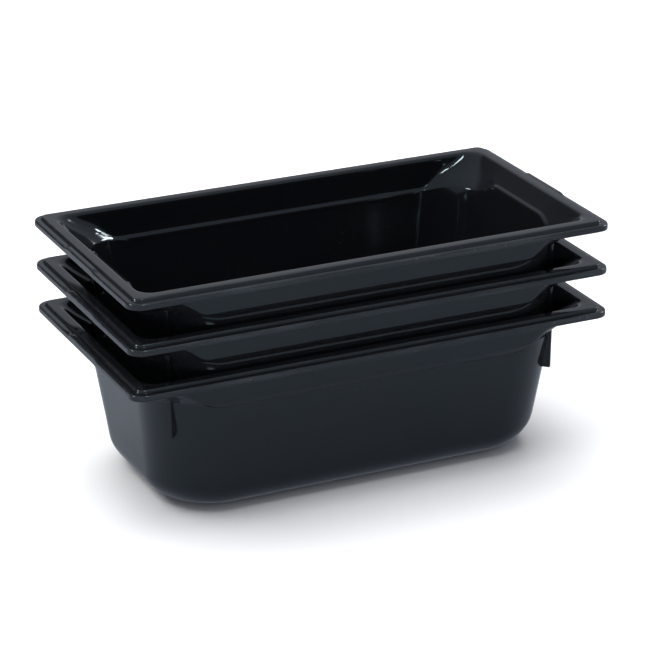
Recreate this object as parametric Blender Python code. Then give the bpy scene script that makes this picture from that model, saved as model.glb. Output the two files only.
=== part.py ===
"""A nest of three third-size deli food pans, 100 mm deep, each one moulded piece of black plastic.

Every pan has the same shape: a stepped rim with a turned-down lip, a near-vertical panel on each side
above a small shoulder, a funnel in each corner, a tapered wall with large corner radii, a flat floor,
and a diagonal rib under each corner funnel. The ribs stand on the funnels of the pan below, so the
nested pans don't wedge together.

Lengths are in metres. The origin is at the centre of the bottom pan's underside, +X runs along the
pan and +Z is up. A depth is measured down from the rim's top face, and an inset is measured inwards
from the lip's outer edge.
"""

import math

import bmesh
import bpy

# Driving dimensions
LENGTH = 0.325
WIDTH = 0.176
HEIGHT = 0.1000
WALL = 0.0024
NEST_PITCH = 0.0292
PAN_NAMES = ("pan_bottom", "pan_middle", "pan_top")

# Rim: a raised flange, a step down to a ledge, and a lip turned down round the outside
LIP_RADIUS = 0.0095
FLANGE_INSET = 0.0070
FLANGE_RADIUS = 0.0060
STEP_TOP_INSET = 0.0047
STEP_FOOT_INSET = 0.0042
STEP_DEPTH = 0.0019
GROOVE_INSET = 0.0034
LEDGE_INSET = 0.0007
LIP_EDGE_DEPTH = 0.0026
LIP_DEPTH = 0.0059
LIP_THICKNESS = 0.0024
LIP_FOOT_INSET = 0.0028
# The ledge is raised along the middle of each short end
RAISED_BY = 0.0010
RAISED_END = (0.0235, 0.0022)

# The tapered wall, where it meets the long sides' shoulder and where it would meet the floor
WALL_TOP_DEPTH = 0.0240
WALL_TOP = (0.1389, 0.0722, 0.0351)
WALL_FOOT = (0.1296, 0.0639, 0.0385)
FLOOR_DEPTH = HEIGHT - WALL
FLOOR_INSET = 0.0300
FLOOR_RADIUS = 0.0200

# Mouth: from the flange's inner edge down to the top of the wall. Each level has
# the corner funnel (half length, half width, corner radius, depth),
# the long panel (half width, depth), the short panel (half length, depth),
# and where each panel ends (distance from the middle, half the length of its end curve).
FUNNEL_FOOT_DEPTH = 0.0180
SHORT_SHOULDER_DEPTH = 0.0101
MOUTH_LEVELS = (
    ((0.1510, 0.0756, 0.0110, 0.0000), (0.0756, 0.0000), (0.1514, 0.0000), (0.130, 0.009), (0.040, 0.009)),
    ((0.1481, 0.0750, 0.0170, 0.0054), (0.0753, 0.0060), (0.1486, 0.0032), (0.126, 0.008), (0.039, 0.009)),
    ((0.1451, 0.0743, 0.0230, 0.0098), (0.0750, 0.0130), (0.1459, 0.0062), (0.121, 0.007), (0.038, 0.009)),
    ((0.1422, 0.0736, 0.0290, 0.0136), (0.0747, 0.0198), (0.1433, 0.0090), (0.117, 0.008), (0.038, 0.010)),
)
WALL_TOP_ENDS = ((0.112, 0.017), (0.039, 0.011))

# How far each profile corner is rounded, as shares of the stretches before and after it.
# Where the wall meets the floor there is a share for the corners, the long sides and the short sides.
INSIDE_ROUNDING = (
    (0.37, 0.30), (0.40, 0.40), (0.40, 0.40), (0.12, 0.20), (0.20, 0.012),
    ((0.23, 0.22, 0.19), (0.63, 0.62, 0.62)),
)
OUTSIDE_ROUNDING = (
    (0.35, 0.15), (0.40, 0.40), (0.40, 0.40), (0.20, 0.30), (0.15, 0.010),
    ((0.25, 0.24, 0.21), (0.71, 0.70, 0.70)),
)
ROUNDING_STEPS = (1, 1, 1, 1, 1, 4)
ROUNDING_WEIGHT = 0.75

# Corner ribs, in the upright plane through each corner's axis: (distance from the axis, depth)
RIB_AXIS = (0.0985, 0.0326)
RIB_THICKNESS = 0.0024
RIB_OUTLINE = ((0.0392, 0.0433), (0.0468, 0.0433), (0.0474, 0.0156), (0.0436, 0.0186), (0.0429, 0.0235))

# Stations along a straight side, as shares of its half length, and steps round a corner
SHORT_STATIONS = (0.0, 0.27, 0.33, 0.55, 0.8, 1.0)
LONG_STATIONS = (1.0, 0.92, 0.82, 0.5)
CORNER_STEPS = 6

BLACK_PLASTIC = (0.012, 0.014, 0.017, 1.0)


def clear_scene():
    for obj in list(bpy.data.objects):
        bpy.data.objects.remove(obj, do_unlink=True)


def ease(value, middle, half):
    """1 well below the middle, 0 well above it, with a smooth fall between."""
    share = min(max((value - middle + half) / (2 * half), 0.0), 1.0)
    return 1 - share * share * (3 - 2 * share)


def contour(half_x, half_y, radius):
    """A rounded rectangle's stations, counter-clockwise from the middle of the +X end."""
    straight_x, straight_y = half_x - radius, half_y - radius
    quarter = [(half_x, straight_y * share) for share in SHORT_STATIONS]
    for step in range(1, CORNER_STEPS):
        angle = math.pi / 2 * step / CORNER_STEPS
        quarter.append((straight_x + radius * math.cos(angle), straight_y + radius * math.sin(angle)))
    quarter += [(straight_x * share, half_y) for share in LONG_STATIONS]
    middle = (0.0, half_y)
    half = quarter + [middle] + [(-x, y) for x, y in reversed(quarter[1:])]
    return half + [(-x, -y) for x, y in half]


def for_level(share):
    """One share for each number of a level."""
    corner, long_side, short_side = share if isinstance(share, tuple) else (share,) * 3
    return (corner,) * 4 + (long_side,) * 2 + (short_side,) * 6


def rounded(levels, shares, steps):
    """The levels with each inner one replaced by a smooth curve towards its neighbours."""
    curve = [levels[0]]
    for index, ((before, after), count) in enumerate(zip(shares, steps), start=1):
        here = levels[index]
        start = [h + (p - h) * s for h, p, s in zip(here, levels[index - 1], for_level(before))]
        end = [h + (n - h) * s for h, n, s in zip(here, levels[index + 1], for_level(after))]
        for step in range(count + 1):
            t = step / count
            pull = (1 - t) ** 2, 2 * t * (1 - t) * ROUNDING_WEIGHT, t * t
            total = sum(pull)
            curve.append([
                (pull[0] * s + pull[1] * h + pull[2] * e) / total for s, h, e in zip(start, here, end)
            ])
    curve.append(levels[-1])
    return curve


def offsets(points, thickness):
    """The mitred move of each (outward, depth) point that thickens the profile on its outer side."""
    normals = []
    for (out_a, depth_a), (out_b, depth_b) in zip(points, points[1:]):
        length = math.hypot(out_b - out_a, depth_b - depth_a)
        normals.append(((depth_b - depth_a) / length, (out_a - out_b) / length))
    moves = []
    for before, after in zip([normals[0]] + normals, normals + [normals[-1]]):
        scale = thickness / (1 + before[0] * after[0] + before[1] * after[1])
        moves.append(((before[0] + after[0]) * scale, (before[1] + after[1]) * scale))
    return moves


def corner_reach(half_x, half_y, radius):
    """How far the middle of a rounded corner is from the centre, along the diagonal direction."""
    return (half_x + half_y) / math.sqrt(2) - radius * (math.sqrt(2) - 1)


def inside_levels():
    """The pan's inner surface, from the flange to the floor, before rounding."""
    half_x, half_y = LENGTH / 2 - FLANGE_INSET, WIDTH / 2 - FLANGE_INSET
    first_ends = MOUTH_LEVELS[0][3] + MOUTH_LEVELS[0][4]
    levels = [(half_x, half_y, FLANGE_RADIUS, 0.0, half_y, 0.0, half_x, 0.0) + first_ends]
    for funnel, long_panel, short_panel, long_end, short_end in MOUTH_LEVELS:
        levels.append(funnel + long_panel + short_panel + long_end + short_end)

    def on_wall(depth):
        share = (depth - WALL_TOP_DEPTH) / (FLOOR_DEPTH - WALL_TOP_DEPTH)
        return [top + (foot - top) * share for top, foot in zip(WALL_TOP, WALL_FOOT)]

    funnel_x, funnel_y, funnel_radius = on_wall(FUNNEL_FOOT_DEPTH)
    levels.append((
        funnel_x, funnel_y, funnel_radius, FUNNEL_FOOT_DEPTH,
        WALL_TOP[1], WALL_TOP_DEPTH, on_wall(SHORT_SHOULDER_DEPTH)[0], SHORT_SHOULDER_DEPTH,
        *WALL_TOP_ENDS[0], *WALL_TOP_ENDS[1],
    ))
    for inset, radius in ((0.0, WALL_FOOT[2]), (FLOOR_INSET, FLOOR_RADIUS)):
        foot_x, foot_y = WALL_FOOT[0] - inset, WALL_FOOT[1] - inset
        levels.append((
            foot_x, foot_y, radius, FLOOR_DEPTH, foot_y, FLOOR_DEPTH, foot_x, FLOOR_DEPTH,
            *WALL_TOP_ENDS[0], *WALL_TOP_ENDS[1],
        ))
    return levels


def outside_levels(levels):
    """The same levels moved out through the wall's thickness."""
    funnel_moves = offsets([(corner_reach(*level[:3]), level[3]) for level in levels], WALL)
    long_moves = offsets([(level[4], level[5]) for level in levels], WALL)
    short_moves = offsets([(level[6], level[7]) for level in levels], WALL)
    outside = []
    for level, funnel, long_side, short_side in zip(levels, funnel_moves, long_moves, short_moves):
        outside.append((
            level[0] + funnel[0], level[1] + funnel[0], level[2] + funnel[0], level[3] + funnel[1],
            level[4] + long_side[0], level[5] + long_side[1],
            level[6] + short_side[0], level[7] + short_side[1], *level[8:],
        ))
    return outside


def wall_ring(level):
    """One ring of points: the funnel's contour, drawn out to the panel along each side."""
    half_x, half_y, radius, depth, long_y, long_depth, short_x, short_depth = level[:8]
    long_end, long_half, short_end, short_half = level[8:]
    ring = []
    for x, y in contour(half_x, half_y, radius):
        on_long = ease(abs(x), long_end, long_half)
        on_short = ease(abs(y), short_end, short_half)
        ring.append((
            x + math.copysign(on_short * (short_x - half_x), x),
            y + math.copysign(on_long * (long_y - half_y), y),
            HEIGHT - depth - on_long * (long_depth - depth) - on_short * (short_depth - depth),
        ))
    return ring


def rim_ring(inset, depth, lift=0.0):
    """One ring of the rim, raised by lift along the middle of the short ends."""
    ring = []
    for x, y in contour(LENGTH / 2 - inset, WIDTH / 2 - inset, LIP_RADIUS - inset):
        at_end = ease(abs(y), *RAISED_END) if abs(x) > WIDTH / 2 else 0.0
        ring.append((x, y, HEIGHT - depth + lift * at_end))
    return ring


def rim_rings():
    """The rim from the flange's top face, over the step and the lip, to the flange's underside."""
    return [
        rim_ring(STEP_TOP_INSET, 0.0),
        rim_ring(STEP_FOOT_INSET, STEP_DEPTH),
        rim_ring(GROOVE_INSET, STEP_DEPTH, RAISED_BY),
        rim_ring(LEDGE_INSET, STEP_DEPTH, RAISED_BY),
        rim_ring(0.0, LIP_EDGE_DEPTH, RAISED_BY),
        rim_ring(0.0, LIP_DEPTH),
        rim_ring(LIP_THICKNESS, LIP_DEPTH),
        rim_ring(LIP_FOOT_INSET, WALL),
    ]


def shell_mesh():
    """The moulded shell: rings bridged from the inner floor, over the rim, to the underside."""
    inside = inside_levels()
    outside = outside_levels(inside)
    rings = [wall_ring(level) for level in reversed(rounded(inside, INSIDE_ROUNDING, ROUNDING_STEPS))]
    rings += rim_rings()
    rings += [wall_ring(level) for level in rounded(outside, OUTSIDE_ROUNDING, ROUNDING_STEPS)]
    shell = bmesh.new()
    rows = [[shell.verts.new(point) for point in ring] for ring in rings]
    for lower, upper in zip(rows, rows[1:]):
        for index in range(len(lower)):
            after = (index + 1) % len(lower)
            shell.faces.new((lower[index], lower[after], upper[after], upper[index]))
    shell.faces.new(list(reversed(rows[0])))
    shell.faces.new(rows[-1])
    bmesh.ops.recalc_face_normals(shell, faces=shell.faces)
    return shell


def rib_mesh():
    """The four corner ribs: an upright outline, thickened across its diagonal plane."""
    ribs = bmesh.new()
    slope = math.sqrt(0.5)
    for side_x in (1, -1):
        for side_y in (1, -1):
            faces = []
            for across in (-RIB_THICKNESS / 2, RIB_THICKNESS / 2):
                faces.append([
                    ribs.verts.new((
                        side_x * (RIB_AXIS[0] + (reach + across) * slope),
                        side_y * (RIB_AXIS[1] + (reach - across) * slope),
                        HEIGHT - depth,
                    ))
                    for reach, depth in RIB_OUTLINE
                ])
            near, far = faces
            ribs.faces.new(near)
            ribs.faces.new(list(reversed(far)))
            for index in range(len(near)):
                after = (index + 1) % len(near)
                ribs.faces.new((near[after], near[index], far[index], far[after]))
    bmesh.ops.recalc_face_normals(ribs, faces=ribs.faces)
    return ribs


def add_object(name, shape):
    mesh = bpy.data.meshes.new(name)
    shape.to_mesh(mesh)
    shape.free()
    obj = bpy.data.objects.new(name, mesh)
    bpy.context.scene.collection.objects.link(obj)
    return obj


def pan_mesh():
    """One pan's mesh: the shell with its ribs joined on."""
    shell = add_object("shell", shell_mesh())
    ribs = add_object("ribs", rib_mesh())
    join = shell.modifiers.new("join_ribs", "BOOLEAN")
    join.operation = "UNION"
    join.object = ribs
    joined = shell.evaluated_get(bpy.context.evaluated_depsgraph_get())
    mesh = bpy.data.meshes.new_from_object(joined)
    for helper in (shell, ribs):
        bpy.data.objects.remove(helper, do_unlink=True)
    mesh.name = "pan"
    mesh.shade_smooth()
    mesh.set_sharp_from_angle(angle=math.radians(35))
    return mesh


def plastic():
    material = bpy.data.materials.new("black_plastic")
    material.use_nodes = True
    shader = material.node_tree.nodes["Principled BSDF"]
    shader.inputs["Base Color"].default_value = BLACK_PLASTIC
    shader.inputs["Roughness"].default_value = 0.18
    shader.inputs["Metallic"].default_value = 0.0
    return material


def main():
    clear_scene()
    mesh = pan_mesh()
    mesh.materials.clear()
    mesh.materials.append(plastic())
    for level, name in enumerate(PAN_NAMES):
        pan = bpy.data.objects.new(name, mesh)
        pan.location.z = level * NEST_PITCH
        bpy.context.scene.collection.objects.link(pan)


main()
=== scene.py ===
import math

import bmesh
import bpy
import numpy as np
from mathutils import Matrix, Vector


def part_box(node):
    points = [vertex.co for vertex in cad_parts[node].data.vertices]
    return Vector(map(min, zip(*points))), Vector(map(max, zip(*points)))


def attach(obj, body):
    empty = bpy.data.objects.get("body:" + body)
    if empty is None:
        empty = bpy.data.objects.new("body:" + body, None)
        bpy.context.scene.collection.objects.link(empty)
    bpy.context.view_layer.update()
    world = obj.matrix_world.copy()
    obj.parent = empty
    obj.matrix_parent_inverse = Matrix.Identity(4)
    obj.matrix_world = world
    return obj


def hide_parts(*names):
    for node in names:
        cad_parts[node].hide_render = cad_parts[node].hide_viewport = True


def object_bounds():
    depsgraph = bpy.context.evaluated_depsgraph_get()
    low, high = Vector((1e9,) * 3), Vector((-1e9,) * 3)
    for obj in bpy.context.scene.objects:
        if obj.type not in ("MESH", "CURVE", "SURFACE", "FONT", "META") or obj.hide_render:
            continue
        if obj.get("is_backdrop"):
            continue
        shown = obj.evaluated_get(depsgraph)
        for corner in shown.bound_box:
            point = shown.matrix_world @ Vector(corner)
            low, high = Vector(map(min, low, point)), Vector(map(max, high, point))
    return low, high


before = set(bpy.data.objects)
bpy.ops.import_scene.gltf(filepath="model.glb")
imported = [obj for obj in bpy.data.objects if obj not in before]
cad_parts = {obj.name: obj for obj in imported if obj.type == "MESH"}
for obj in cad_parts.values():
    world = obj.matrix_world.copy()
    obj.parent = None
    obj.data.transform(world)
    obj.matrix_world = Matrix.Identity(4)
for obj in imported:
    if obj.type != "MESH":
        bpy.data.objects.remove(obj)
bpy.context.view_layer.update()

# The looks of the nest of deli food pans: each pan is one fine moulding in glossy black plastic that
# stands for its CAD node, on a white studio floor. Lengths are in metres. A depth is measured down from
# a rim's top face, and an inset is measured inwards from the lip's outer edge.

# ---------------------------------------------------------------- the pan's shape

PANS = ("pan_bottom", "pan_middle", "pan_top")
bottom_low, bottom_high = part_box("pan_bottom")
LENGTH = bottom_high.x - bottom_low.x
WIDTH = bottom_high.y - bottom_low.y
HEIGHT = bottom_high.z - bottom_low.z
WALL = 0.0024

LIP_RADIUS = 0.0095
FLANGE_INSET = 0.0070
FLANGE_RADIUS = 0.0060
# The rim's profile outwards from the flange: (inset, depth, edge radius, share of the raised end)
RIM_PROFILE = (
    (0.0047, 0.0000, 0.0007, 0.0),
    (0.0041, 0.0019, 0.0005, 0.0),
    (0.0034, 0.0019, 0.0003, 1.0),
    (0.0004, 0.0019, 0.0009, 1.0),
    (0.0000, 0.0033, 0.0004, 1.0),
    (0.0000, 0.0059, 0.0005, 0.0),
    (0.0024, 0.0059, 0.0004, 0.0),
    (0.0028, 0.0024, 0.0008, 0.0),
)
RAISED_BY = 0.0010
RAISED_END = (0.0235, 0.0022)

WALL_TOP_DEPTH = 0.0240
WALL_TOP = (0.1389, 0.0722, 0.0351)
WALL_FOOT = (0.1296, 0.0639, 0.0385)
FLOOR_DEPTH = HEIGHT - WALL
FLOOR_INSET = 0.0300
FLOOR_RADIUS = 0.0200

# Mouth levels: the corner funnel (half length, half width, corner radius, depth), the long panel
# (half width, depth), the short panel (half length, depth), and each panel's end (distance from the
# middle, half the length of its end curve)
FUNNEL_FOOT_DEPTH = 0.0180
SHORT_SHOULDER_DEPTH = 0.0101
MOUTH_LEVELS = (
    ((0.1510, 0.0756, 0.0110, 0.0000), (0.0756, 0.0000), (0.1514, 0.0000), (0.130, 0.009), (0.040, 0.009)),
    ((0.1481, 0.0750, 0.0170, 0.0054), (0.0753, 0.0060), (0.1486, 0.0032), (0.126, 0.008), (0.039, 0.009)),
    ((0.1451, 0.0743, 0.0230, 0.0098), (0.0750, 0.0130), (0.1459, 0.0062), (0.121, 0.007), (0.038, 0.009)),
    ((0.1422, 0.0736, 0.0290, 0.0136), (0.0747, 0.0198), (0.1433, 0.0090), (0.117, 0.008), (0.038, 0.010)),
)
WALL_TOP_ENDS = ((0.112, 0.017), (0.039, 0.011))

# How far each profile corner is rounded, as shares of the stretches before and after it: one share,
# or one each for the corners, the long sides and the short sides
INSIDE_ROUNDING = (
    (0.37, 0.30), (0.40, 0.40), (0.40, 0.40), (0.12, 0.20), (0.20, 0.012),
    ((0.23, 0.22, 0.19), (0.63, 0.62, 0.62)),
)
OUTSIDE_ROUNDING = (
    (0.35, 0.15), (0.40, 0.40), (0.40, 0.40), (0.20, 0.30), (0.15, 0.010),
    ((0.25, 0.24, 0.21), (0.71, 0.70, 0.70)),
)
ROUNDING_STEPS = (5, 3, 3, 4, 5, 10)
STRAIGHT_STEPS = (1, 1, 1, 1, 1, 6, 2)
ROUNDING_WEIGHT = 0.75
EDGE_STEPS = 4
# The largest share of a stretch of the rim that one rounded edge takes
EDGE_SHARE = 0.48

RIB_AXIS = (0.0985, 0.0326)
RIB_THICKNESS = 0.0024
RIB_OUTLINE = ((0.0392, 0.0433), (0.0468, 0.0433), (0.0474, 0.0156), (0.0436, 0.0186), (0.0429, 0.0235))
RIB_EDGE = 0.0004

# Edges sharper than this many degrees are shaded sharp
SHARP_ANGLE = 38

# Where rubbing shows: each pair is where it starts to fade and where it ends
LIP_WEAR_INSET = (0.0002, 0.0016)
LIP_WEAR_DEPTH = (0.0040, 0.0062)
STEP_EDGE_INSET = 0.0046
STEP_WEAR_REACH = (0.0003, 0.0013)
STEP_WEAR_DEPTH = (0.0002, 0.0012)
FOOT_WEAR_HEIGHT = (0.0005, 0.0050)
FOOT_WEAR_REACH = (0.095, 0.110)
LESSER_WEAR = 0.8

SHORT_STEPS = 48
CORNER_STEPS = 16
LONG_STEPS = 52


def ease(value, middle, half):
    """1 well below the middle, 0 well above it, with a smooth fall between."""
    share = min(max((value - middle + half) / (2 * half), 0.0), 1.0)
    return 1 - share * share * (3 - 2 * share)


def contour(half_x, half_y, radius):
    """A rounded rectangle's stations, counter-clockwise from the middle of the +X end."""
    straight_x, straight_y = half_x - radius, half_y - radius
    quarter = [(half_x, straight_y * step / SHORT_STEPS) for step in range(SHORT_STEPS + 1)]
    for step in range(1, CORNER_STEPS):
        angle = math.pi / 2 * step / CORNER_STEPS
        quarter.append((straight_x + radius * math.cos(angle), straight_y + radius * math.sin(angle)))
    for step in range(LONG_STEPS):
        along = step / LONG_STEPS
        quarter.append((straight_x * (1 - (along + along * along) / 2), half_y))
    half = quarter + [(0.0, half_y)] + [(-x, y) for x, y in reversed(quarter[1:])]
    return half + [(-x, -y) for x, y in half]


def for_level(share):
    """One share for each number of a level."""
    corner, long_side, short_side = share if isinstance(share, tuple) else (share,) * 3
    return (corner,) * 4 + (long_side,) * 2 + (short_side,) * 6


def between(first, second, steps):
    """The levels strictly between two, evenly spaced."""
    return [[a + (b - a) * step / steps for a, b in zip(first, second)] for step in range(1, steps)]


def rounded(levels, shares):
    """The levels with each inner one replaced by a smooth curve towards its neighbours."""
    curve = [levels[0]]
    for index, ((before, after), count) in enumerate(zip(shares, ROUNDING_STEPS), start=1):
        here = levels[index]
        start = [h + (p - h) * s for h, p, s in zip(here, levels[index - 1], for_level(before))]
        end = [h + (n - h) * s for h, n, s in zip(here, levels[index + 1], for_level(after))]
        curve += between(curve[-1], start, STRAIGHT_STEPS[index - 1])
        for step in range(count + 1):
            t = step / count
            pull = (1 - t) ** 2, 2 * t * (1 - t) * ROUNDING_WEIGHT, t * t
            total = sum(pull)
            curve.append([
                (pull[0] * s + pull[1] * h + pull[2] * e) / total for s, h, e in zip(start, here, end)
            ])
    curve += between(curve[-1], levels[-1], STRAIGHT_STEPS[-1])
    curve.append(levels[-1])
    return curve


def offsets(points, thickness):
    """The mitred move of each (outward, depth) point that thickens the profile on its outer side."""
    normals = []
    for (out_a, depth_a), (out_b, depth_b) in zip(points, points[1:]):
        length = math.hypot(out_b - out_a, depth_b - depth_a)
        normals.append(((depth_b - depth_a) / length, (out_a - out_b) / length))
    moves = []
    for before, after in zip([normals[0]] + normals, normals + [normals[-1]]):
        scale = thickness / (1 + before[0] * after[0] + before[1] * after[1])
        moves.append(((before[0] + after[0]) * scale, (before[1] + after[1]) * scale))
    return moves


def corner_reach(half_x, half_y, radius):
    """How far the middle of a rounded corner is from the centre, along the diagonal direction."""
    return (half_x + half_y) / math.sqrt(2) - radius * (math.sqrt(2) - 1)


def inside_levels():
    """The pan's inner surface, from the flange to the floor, before rounding."""
    half_x, half_y = LENGTH / 2 - FLANGE_INSET, WIDTH / 2 - FLANGE_INSET
    first_ends = MOUTH_LEVELS[0][3] + MOUTH_LEVELS[0][4]
    levels = [(half_x, half_y, FLANGE_RADIUS, 0.0, half_y, 0.0, half_x, 0.0) + first_ends]
    for funnel, long_panel, short_panel, long_end, short_end in MOUTH_LEVELS:
        levels.append(funnel + long_panel + short_panel + long_end + short_end)

    def on_wall(depth):
        share = (depth - WALL_TOP_DEPTH) / (FLOOR_DEPTH - WALL_TOP_DEPTH)
        return [top + (foot - top) * share for top, foot in zip(WALL_TOP, WALL_FOOT)]

    funnel_x, funnel_y, funnel_radius = on_wall(FUNNEL_FOOT_DEPTH)
    levels.append((
        funnel_x, funnel_y, funnel_radius, FUNNEL_FOOT_DEPTH,
        WALL_TOP[1], WALL_TOP_DEPTH, on_wall(SHORT_SHOULDER_DEPTH)[0], SHORT_SHOULDER_DEPTH,
        *WALL_TOP_ENDS[0], *WALL_TOP_ENDS[1],
    ))
    for inset, radius in ((0.0, WALL_FOOT[2]), (FLOOR_INSET, FLOOR_RADIUS)):
        foot_x, foot_y = WALL_FOOT[0] - inset, WALL_FOOT[1] - inset
        levels.append((
            foot_x, foot_y, radius, FLOOR_DEPTH, foot_y, FLOOR_DEPTH, foot_x, FLOOR_DEPTH,
            *WALL_TOP_ENDS[0], *WALL_TOP_ENDS[1],
        ))
    return levels


def outside_levels(levels):
    """The same levels moved out through the wall's thickness."""
    funnel_moves = offsets([(corner_reach(*level[:3]), level[3]) for level in levels], WALL)
    long_moves = offsets([(level[4], level[5]) for level in levels], WALL)
    short_moves = offsets([(level[6], level[7]) for level in levels], WALL)
    outside = []
    for level, funnel, long_side, short_side in zip(levels, funnel_moves, long_moves, short_moves):
        outside.append((
            level[0] + funnel[0], level[1] + funnel[0], level[2] + funnel[0], level[3] + funnel[1],
            level[4] + long_side[0], level[5] + long_side[1],
            level[6] + short_side[0], level[7] + short_side[1], *level[8:],
        ))
    return outside


def wall_ring(level):
    """One ring of points: the funnel's contour, drawn out to the panel along each side."""
    half_x, half_y, radius, depth, long_y, long_depth, short_x, short_depth = level[:8]
    long_end, long_half, short_end, short_half = level[8:]
    ring = []
    for x, y in contour(half_x, half_y, radius):
        on_long = ease(abs(x), long_end, long_half)
        on_short = ease(abs(y), short_end, short_half)
        ring.append((
            x + math.copysign(on_short * (short_x - half_x), x),
            y + math.copysign(on_long * (long_y - half_y), y),
            HEIGHT - depth - on_long * (long_depth - depth) - on_short * (short_depth - depth),
        ))
    return ring


def rim_ring(inset, depth, lift):
    """One ring of the rim, raised by lift along the middle of the short ends."""
    ring = []
    for x, y in contour(LENGTH / 2 - inset, WIDTH / 2 - inset, LIP_RADIUS - inset):
        at_end = ease(abs(y), *RAISED_END) if abs(x) > WIDTH / 2 else 0.0
        ring.append((x, y, HEIGHT - depth + lift * at_end))
    return ring


def rim_rings():
    """The rim from the flange's top face, over the step and the lip, to the flange's underside."""
    points = [(FLANGE_INSET, 0.0, 0.0, 0.0), *RIM_PROFILE, (FLANGE_INSET, WALL, 0.0, 0.0)]
    rings = []
    for before, here, after in zip(points, points[1:], points[2:]):
        corner = Vector(here[:2])
        to_before = Vector(before[:2]) - corner
        to_after = Vector(after[:2]) - corner
        reach_before = min(here[2], EDGE_SHARE * to_before.length) / to_before.length
        reach_after = min(here[2], EDGE_SHARE * to_after.length) / to_after.length
        for step in range(EDGE_STEPS + 1):
            t = step / EDGE_STEPS
            place = corner + to_before * reach_before * (1 - t) ** 2 + to_after * reach_after * t * t
            share = here[3] + (before[3] - here[3]) * reach_before * (1 - t) ** 2
            share += (after[3] - here[3]) * reach_after * t * t
            rings.append(rim_ring(place.x, place.y, RAISED_BY * share))
    return rings


def shell_mesh():
    """The moulded shell: rings bridged from the inner floor, over the rim, to the underside."""
    inside = inside_levels()
    rings = [wall_ring(level) for level in reversed(rounded(inside, INSIDE_ROUNDING))]
    rings += rim_rings()
    rings += [wall_ring(level) for level in rounded(outside_levels(inside), OUTSIDE_ROUNDING)]
    shell = bmesh.new()
    rows = [[shell.verts.new(point) for point in ring] for ring in rings]
    for lower, upper in zip(rows, rows[1:]):
        for index in range(len(lower)):
            after = (index + 1) % len(lower)
            shell.faces.new((lower[index], lower[after], upper[after], upper[index]))
    shell.faces.new(list(reversed(rows[0])))
    shell.faces.new(rows[-1])
    bmesh.ops.recalc_face_normals(shell, faces=shell.faces)
    return shell


def rib_mesh():
    """The four corner ribs, with their edges softened."""
    ribs = bmesh.new()
    slope = math.sqrt(0.5)
    for side_x in (1, -1):
        for side_y in (1, -1):
            faces = []
            for across in (-RIB_THICKNESS / 2, RIB_THICKNESS / 2):
                faces.append([
                    ribs.verts.new((
                        side_x * (RIB_AXIS[0] + (reach + across) * slope),
                        side_y * (RIB_AXIS[1] + (reach - across) * slope),
                        HEIGHT - depth,
                    ))
                    for reach, depth in RIB_OUTLINE
                ])
            near, far = faces
            ribs.faces.new(near)
            ribs.faces.new(list(reversed(far)))
            for index in range(len(near)):
                after = (index + 1) % len(near)
                ribs.faces.new((near[after], near[index], far[index], far[after]))
    bmesh.ops.recalc_face_normals(ribs, faces=ribs.faces)
    bmesh.ops.bevel(
        ribs, geom=ribs.edges[:], offset=RIB_EDGE, segments=2, profile=0.5, affect="EDGES", clamp_overlap=True
    )
    return ribs


def add_object(name, shape):
    mesh = bpy.data.meshes.new(name)
    shape.to_mesh(mesh)
    shape.free()
    obj = bpy.data.objects.new(name, mesh)
    bpy.context.scene.collection.objects.link(obj)
    return obj


def pan_mesh():
    """One pan's mesh: the shell with its ribs joined on."""
    shell = add_object("shell", shell_mesh())
    ribs = add_object("ribs", rib_mesh())
    join = shell.modifiers.new("join_ribs", "BOOLEAN")
    join.operation = "UNION"
    join.object = ribs
    joined = shell.evaluated_get(bpy.context.evaluated_depsgraph_get())
    mesh = bpy.data.meshes.new_from_object(joined)
    for helper in (shell, ribs):
        bpy.data.objects.remove(helper, do_unlink=True)
    mesh.name = "pan"
    mark_wear(mesh)
    mesh.shade_smooth()
    mesh.set_sharp_from_angle(angle=math.radians(SHARP_ANGLE))
    return mesh


def rise(value, low, high):
    """0 below low, 1 above high, with a smooth rise between; works on arrays."""
    share = np.clip((value - low) / (high - low), 0.0, 1.0)
    return share * share * (3 - 2 * share)


def fall(value, low, high):
    """1 below low, 0 above high, with a smooth fall between; works on arrays."""
    return rise(-value, -high, -low)


def mark_wear(mesh):
    """Store how exposed each point is to rubbing: the lip, the step's edge and the foot's ends."""
    points = np.empty(len(mesh.vertices) * 3)
    mesh.vertices.foreach_get("co", points)
    points = points.reshape(-1, 3)
    beyond = np.abs(points[:, :2]) - (np.array((LENGTH, WIDTH)) / 2 - LIP_RADIUS)
    outside = np.hypot(*np.maximum(beyond, 0).T) + np.minimum(beyond.max(axis=1), 0)
    inset = LIP_RADIUS - outside
    depth = HEIGHT - points[:, 2]
    lip = fall(inset, *LIP_WEAR_INSET) * fall(depth, *LIP_WEAR_DEPTH)
    step = fall(np.abs(inset - STEP_EDGE_INSET), *STEP_WEAR_REACH) * fall(depth, *STEP_WEAR_DEPTH)
    foot = rise(depth, HEIGHT - FOOT_WEAR_HEIGHT[1], HEIGHT - FOOT_WEAR_HEIGHT[0])
    foot = foot * rise(np.abs(points).max(axis=1), *FOOT_WEAR_REACH)
    strongest = np.maximum(np.maximum(lip, LESSER_WEAR * step), LESSER_WEAR * foot)
    wear = mesh.attributes.new("wear", "FLOAT", "POINT")
    wear.data.foreach_set("value", strongest.astype(np.float32))


# ---------------------------------------------------------------- materials

BLACK = (0.0066, 0.0076, 0.0092, 1.0)
BLACK_WARM = (0.0080, 0.0086, 0.0098, 1.0)
RUBBED = (0.024, 0.026, 0.030, 1.0)
DUST = (0.060, 0.062, 0.066, 1.0)
SPECULAR_TINT = (0.76, 0.92, 1.0, 1.0)
PLASTIC_IOR = 1.5
# How far apart two pans' noise patterns are taken
SEED_STEP = 3.7
RIPPLE_HEIGHT = 0.00010
PEEL_HEIGHT = 0.000012
RUB_HEIGHT = 0.000006


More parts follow.
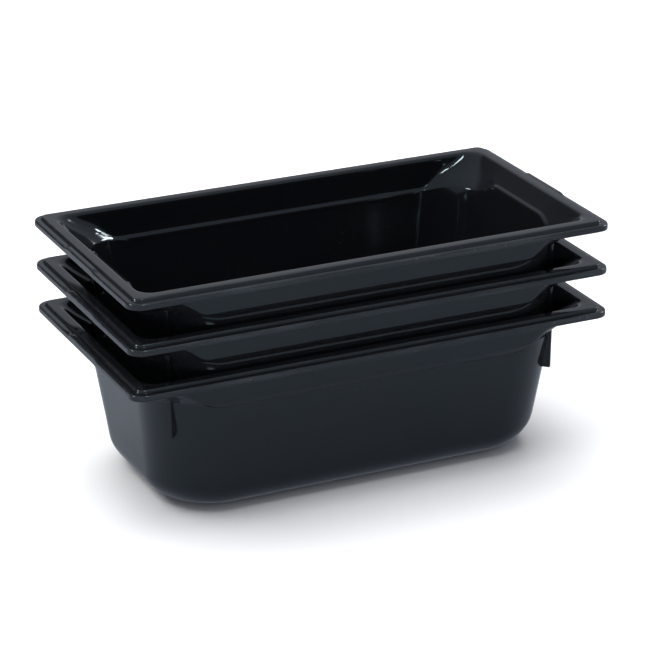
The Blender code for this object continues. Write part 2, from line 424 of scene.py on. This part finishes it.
def add_node(tree, kind, **inputs):
    """A new node with the given input values; an underscore in a key stands for a space."""
    node = tree.nodes.new(kind)
    for name, value in inputs.items():
        node.inputs[name.replace("_", " ")].default_value = value
    return node


def noise(tree, place, seed, scale, detail, stretch=(1.0, 1.0, 1.0)):
    """Four-dimensional noise over the object, so each pan has its own pattern."""
    mapping = add_node(tree, "ShaderNodeMapping", Scale=stretch)
    tree.links.new(place, mapping.inputs["Vector"])
    node = add_node(tree, "ShaderNodeTexNoise", Scale=scale, Detail=detail, Roughness=0.55)
    node.noise_dimensions = "4D"
    node.inputs["W"].default_value = seed
    tree.links.new(mapping.outputs["Vector"], node.inputs["Vector"])
    return node.outputs["Fac"]


def remap(tree, value, low, high, to_low, to_high):
    node = add_node(
        tree, "ShaderNodeMapRange", From_Min=low, From_Max=high, To_Min=to_low, To_Max=to_high
    )
    node.interpolation_type = "SMOOTHSTEP"
    tree.links.new(value, node.inputs["Value"])
    return node.outputs["Result"]


def combine(tree, operation, first, second):
    node = tree.nodes.new("ShaderNodeMath")
    node.operation = operation
    node.use_clamp = True
    tree.links.new(first, node.inputs[0])
    tree.links.new(second, node.inputs[1])
    return node.outputs["Value"]


def blend(tree, share, first, second):
    """A colour between two, each a constant or a socket."""
    node = tree.nodes.new("ShaderNodeMix")
    node.data_type = "RGBA"
    tree.links.new(share, node.inputs["Factor"])
    colours = [socket for socket in node.inputs if socket.type == "RGBA"]
    for socket, colour in zip(colours, (first, second)):
        if isinstance(colour, tuple):
            socket.default_value = colour
        else:
            tree.links.new(colour, socket)
    return next(socket for socket in node.outputs if socket.type == "RGBA")


def bump(tree, height, distance, normal=None):
    node = add_node(tree, "ShaderNodeBump", Strength=1.0, Distance=distance)
    tree.links.new(height, node.inputs["Height"])
    if normal is not None:
        tree.links.new(normal, node.inputs["Normal"])
    return node.outputs["Normal"]


def black_plastic(seed):
    """Glossy moulded plastic: faint mould ripple and peel, stacking rubs, worn edges, a little dust."""
    material = bpy.data.materials.new("black_plastic")
    material.use_nodes = True
    tree = material.node_tree
    shader = tree.nodes["Principled BSDF"]
    shader.inputs["IOR"].default_value = PLASTIC_IOR
    shader.inputs["Specular Tint"].default_value = SPECULAR_TINT
    place = tree.nodes.new("ShaderNodeTexCoord").outputs["Object"]
    worn = tree.nodes.new("ShaderNodeAttribute")
    worn.attribute_name = "wear"
    seed = SEED_STEP * (seed + 1)

    ripple = noise(tree, place, seed, 70.0, 1.0)
    peel = noise(tree, place, seed, 420.0, 2.0)
    haze = noise(tree, place, seed, 14.0, 4.0)
    rubs = noise(tree, place, seed, 300.0, 3.0, (1.0, 1.0, 0.035))
    scuffs = noise(tree, place, seed, 160.0, 4.0, (0.12, 1.0, 1.0))
    specks = noise(tree, place, seed, 1100.0, 1.0)

    rubbed = remap(tree, rubs, 0.56, 0.74, 0.0, 1.0)
    scuffed = remap(tree, scuffs, 0.42, 0.66, 0.25, 1.0)
    edge = combine(tree, "MULTIPLY", worn.outputs["Fac"], scuffed)
    speckled = remap(tree, specks, 0.70, 0.76, 0.0, 0.8)
    dusty = combine(tree, "MULTIPLY", speckled, remap(tree, haze, 0.5, 0.7, 0.0, 1.0))

    colour = blend(tree, remap(tree, haze, 0.35, 0.65, 0.0, 1.0), BLACK, BLACK_WARM)
    colour = blend(tree, remap(tree, rubs, 0.60, 0.80, 0.0, 0.25), colour, RUBBED)
    colour = blend(tree, edge, colour, RUBBED)
    colour = blend(tree, dusty, colour, DUST)
    tree.links.new(colour, shader.inputs["Base Color"])

    roughness = remap(tree, haze, 0.30, 0.70, 0.06, 0.13)
    for cause, amount in ((rubbed, 0.07), (edge, 0.16), (dusty, 0.30)):
        share = add_node(tree, "ShaderNodeMath")
        share.operation = "MULTIPLY"
        share.inputs[1].default_value = amount
        tree.links.new(cause, share.inputs[0])
        roughness = combine(tree, "ADD", roughness, share.outputs["Value"])
    tree.links.new(roughness, shader.inputs["Roughness"])

    normal = bump(tree, ripple, RIPPLE_HEIGHT)
    normal = bump(tree, peel, PEEL_HEIGHT, normal)
    normal = bump(tree, rubs, RUB_HEIGHT, normal)
    tree.links.new(normal, shader.inputs["Normal"])
    return material


# ---------------------------------------------------------------- the pans

mesh = pan_mesh()
for seed, name in enumerate(PANS):
    low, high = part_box(name)
    piece = bpy.data.objects.new(name.replace("pan_", "") + "_pan_moulding", mesh.copy())
    piece.location.z = low.z
    piece.data.materials.clear()
    piece.data.materials.append(black_plastic(seed))
    bpy.context.scene.collection.objects.link(piece)
    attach(piece, name)
    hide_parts(name)
bpy.data.meshes.remove(mesh)

# ---------------------------------------------------------------- floor, light and camera

FLOOR_SIZE = 6.0
GREY_FLOOR_SIZE = 1.7
FLOOR_DEPTH_BELOW = 0.0002
WHITE_FLOOR = (0.90, 0.90, 0.90)
GLOSS_FLOOR = (0.45, 0.48, 0.53)
KEY_DIRECTION = (-0.08, 0.33, 1.0)
KEY_STRENGTH = 4.8
KEY_ANGLE = 84
BACKDROP = (0.40, 0.42, 0.46)
DARK_BACKDROP = (0.06, 0.065, 0.075)
# The dark part of the backdrop: its bearing, and how far from it the dark ends and the fade ends
DARK_BEARING = (122, 8)
DARK_ANGLE = 24
FADE_ANGLE = 46
SOFTBOX_TARGET = Vector((0.0, 0.0, 0.12))
CAMERA_LENS = 160.79
CAMERA_SENSOR = 36.0
CAMERA_NEAR = 0.05
CAMERA_PLACE = (-0.71835, -1.57410, 0.77294)
CAMERA_TURN = (68.325, 0.492, -24.807)


def studio_floor(name, shade, depth, size):
    """A plain matt floor that casts no shadow."""
    shape = bmesh.new()
    bmesh.ops.create_grid(shape, x_segments=1, y_segments=1, size=size / 2)
    floor = add_object(name, shape)
    floor.location.z = -depth
    material = bpy.data.materials.new(name + "_paint")
    material.use_nodes = True
    shader = material.node_tree.nodes["Principled BSDF"]
    shader.inputs["Base Color"].default_value = (*shade, 1.0)
    shader.inputs["Roughness"].default_value = 0.9
    shader.inputs["Specular IOR Level"].default_value = 0.0
    floor.data.materials.append(material)
    floor.visible_shadow = False
    floor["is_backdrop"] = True
    return floor


def bearing(azimuth, height):
    """The unit vector towards a bearing, given in degrees."""
    azimuth, height = math.radians(azimuth), math.radians(height)
    return Vector((
        math.cos(azimuth) * math.cos(height), math.sin(azimuth) * math.cos(height), math.sin(height)
    ))


def aim(light, direction):
    light.rotation_euler = Vector(direction).to_track_quat("Z", "Y").to_euler()


def add_light(name, kind, energy):
    data = bpy.data.lights.new(name, kind)
    data.energy = energy
    light = bpy.data.objects.new(name, data)
    bpy.context.scene.collection.objects.link(light)
    light.visible_camera = False
    return light


def softbox(name, azimuth, height, distance, size, radiance):
    """A rectangular panel that shows only as a highlight, given by its bearing from the pans."""
    direction = bearing(azimuth, height)
    light = add_light(name, "AREA", radiance * math.pi * size[0] * size[1])
    light.data.shape = "RECTANGLE"
    light.data.size, light.data.size_y = size
    light.location = SOFTBOX_TARGET + direction * distance
    aim(light, direction)
    light.visible_diffuse = False
    return light


white_floor = studio_floor("studio_floor", WHITE_FLOOR, FLOOR_DEPTH_BELOW, FLOOR_SIZE)
white_floor.visible_glossy = False
grey_floor = studio_floor("studio_floor_in_gloss", GLOSS_FLOOR, 2 * FLOOR_DEPTH_BELOW, GREY_FLOOR_SIZE)
grey_floor.visible_camera = False
grey_floor.visible_diffuse = False

key = add_light("overhead_key", "SUN", KEY_STRENGTH)
key.data.angle = math.radians(KEY_ANGLE)
key.visible_glossy = False
aim(key, KEY_DIRECTION)
softbox("right_softbox", -5, 28, 1.2, (0.22, 0.36), 26.0)
softbox("front_softbox", -88, 44, 1.2, (0.22, 0.22), 26.0)
softbox("left_softbox", 178, 19, 1.2, (0.24, 0.24), 24.0)

world = bpy.data.worlds.new("studio")
world.use_nodes = True
tree = world.node_tree
backdrop = tree.nodes["Background"]
facing = add_node(tree, "ShaderNodeVectorMath")
facing.operation = "DOT_PRODUCT"
facing.inputs[1].default_value = bearing(*DARK_BEARING)
tree.links.new(tree.nodes.new("ShaderNodeTexCoord").outputs["Generated"], facing.inputs[0])
fade_from, fade_to = (math.cos(math.radians(angle)) for angle in (FADE_ANGLE, DARK_ANGLE))
shaded = remap(tree, facing.outputs["Value"], fade_from, fade_to, 0.0, 1.0)
tree.links.new(blend(tree, shaded, (*BACKDROP, 1.0), (*DARK_BACKDROP, 1.0)), backdrop.inputs["Color"])
bpy.context.scene.world = world
bpy.context.scene.view_settings.view_transform = "Standard"

camera_data = bpy.data.cameras.new("camera")
camera_data.lens = CAMERA_LENS
camera_data.sensor_width = CAMERA_SENSOR
camera_data.clip_start = CAMERA_NEAR
camera = bpy.data.objects.new("camera", camera_data)
camera.location = CAMERA_PLACE
camera.rotation_euler = [math.radians(angle) for angle in CAMERA_TURN]
bpy.context.scene.collection.objects.link(camera)
bpy.context.scene.camera = camera

low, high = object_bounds()
